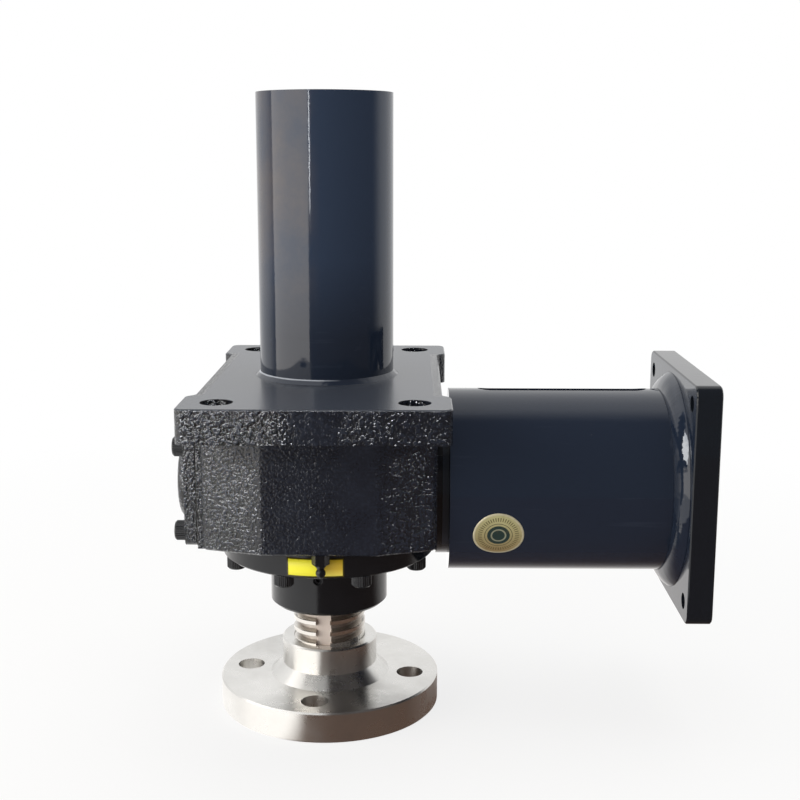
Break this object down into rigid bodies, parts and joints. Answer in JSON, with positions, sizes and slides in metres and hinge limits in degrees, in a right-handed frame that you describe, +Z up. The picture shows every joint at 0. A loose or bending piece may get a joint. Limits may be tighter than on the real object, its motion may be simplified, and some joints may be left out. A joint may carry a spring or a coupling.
{
  "type": "bevel gear screw jack",
  "caption": "Bevel gear screw jack: cast gear case under a bolting flange, translating screw with end flange, protection tube and motor lantern on the side input.",
  "frame": {"origin": "on the lifting screw's axis, in the top face of the mounting flange", "axes": "+Z up along the screw, out of the mounting face; +X along the input axis towards the motor; +Y across the flange's long side, away from the viewer of the picture"},
  "size_m": [0.3505, 0.254, 0.4191],
  "materials": {
    "cast_paint": "black enamel over rough sand casting",
    "gloss_paint": "blue-black gloss enamel on steel tube and plate",
    "satin_paint": "black enamel over a machined surface",
    "painted_screws": "black enamel over screws and nipple",
    "weld_line": "pale bead at the foot of the tube",
    "screw_steel": "rolled trapezoidal thread, oiled",
    "turned_steel": "turned faces with fine rings",
    "gear_steel": "ground and oiled",
    "tool_steel": "machined",
    "bearing_steel": "ground",
    "alloy_screws": "black oxide",
    "bronze": "machined bronze",
    "seal_rubber": "moulded nitrile",
    "spider_elastomer": "moulded elastomer",
    "gasket_paper": "pressed sheet"
  },
  "bodies": {
    "housing": {"housing": "cast_paint", "protection_tube": "gloss_paint", "tube_weld": "weld_line", "tube_cap": "gloss_paint", "lower_cover": "satin_paint", "lower_cover_screws": "painted_screws", "grease_nipple": "painted_screws", "guide_collar": "satin_paint", "collar_screws": "alloy_screws", "guide_bush": "bronze", "guide_key": "tool_steel", "guide_key_screw": "alloy_screws", "wiper_seal": "seal_rubber", "upper_seal": "seal_rubber", "input_seal": "seal_rubber", "bearing_carrier": "satin_paint", "lantern_base": "gloss_paint", "lantern_screws": "alloy_screws", "lantern_tube": "gloss_paint", "lantern_weld": "gloss_paint", "motor_plate": "gloss_paint", "left_gasket": "gasket_paper", "left_cover": "cast_paint", "left_cover_screws": "painted_screws", "upper_bearing_outer": "bearing_steel", "lower_bearing_outer": "bearing_steel", "shaft_bearings_outer": "bearing_steel"},
    "lifting_nut": {"lifting_nut": "bronze", "bevel_gear": "gear_steel", "gear_key": "tool_steel", "gear_screws": "alloy_screws", "upper_bearing_inner": "bearing_steel", "upper_bearing_rollers": "bearing_steel", "lower_bearing_inner": "bearing_steel", "lower_bearing_rollers": "bearing_steel"},
    "lifting_screw": {"lifting_screw": "screw_steel", "end_flange": "turned_steel", "flange_lock_screw": "alloy_screws", "travel_stop": "tool_steel", "travel_stop_bolt": "alloy_screws"},
    "input_shaft": {"pinion_shaft": "gear_steel", "shaft_key": "tool_steel", "shaft_locknut": "tool_steel", "shaft_bearings_inner": "bearing_steel", "shaft_bearings_rollers": "bearing_steel", "coupling_hub_input": "tool_steel", "coupling_spider": "spider_elastomer", "coupling_hub_motor": "tool_steel", "coupling_set_screws": "alloy_screws"}
  },
  "joints": [
    {"name": "nut_spin", "type": "hinge", "parent": "housing", "child": "lifting_nut", "pos_m": [0, 0, -0.07301], "axis": [0, 0, 1], "range_deg": [-899, 5849]},
    {"name": "screw_travel", "type": "slide", "parent": "housing", "child": "lifting_screw", "axis": [0, 0, -1], "range_m": [-0.02, 0.13]},
    {"name": "input_spin", "type": "hinge", "parent": "housing", "child": "input_shaft", "pos_m": [0, 0, -0.07301], "axis": [1, 0, 0], "range_deg": [-14625, 2250]}
  ],
  "couplings": [
    {"joint": "screw_travel", "follows": "nut_spin", "m_per_rad": 0.0012732},
    {"joint": "input_spin", "follows": "nut_spin", "ratio": -2.5}
  ]
}
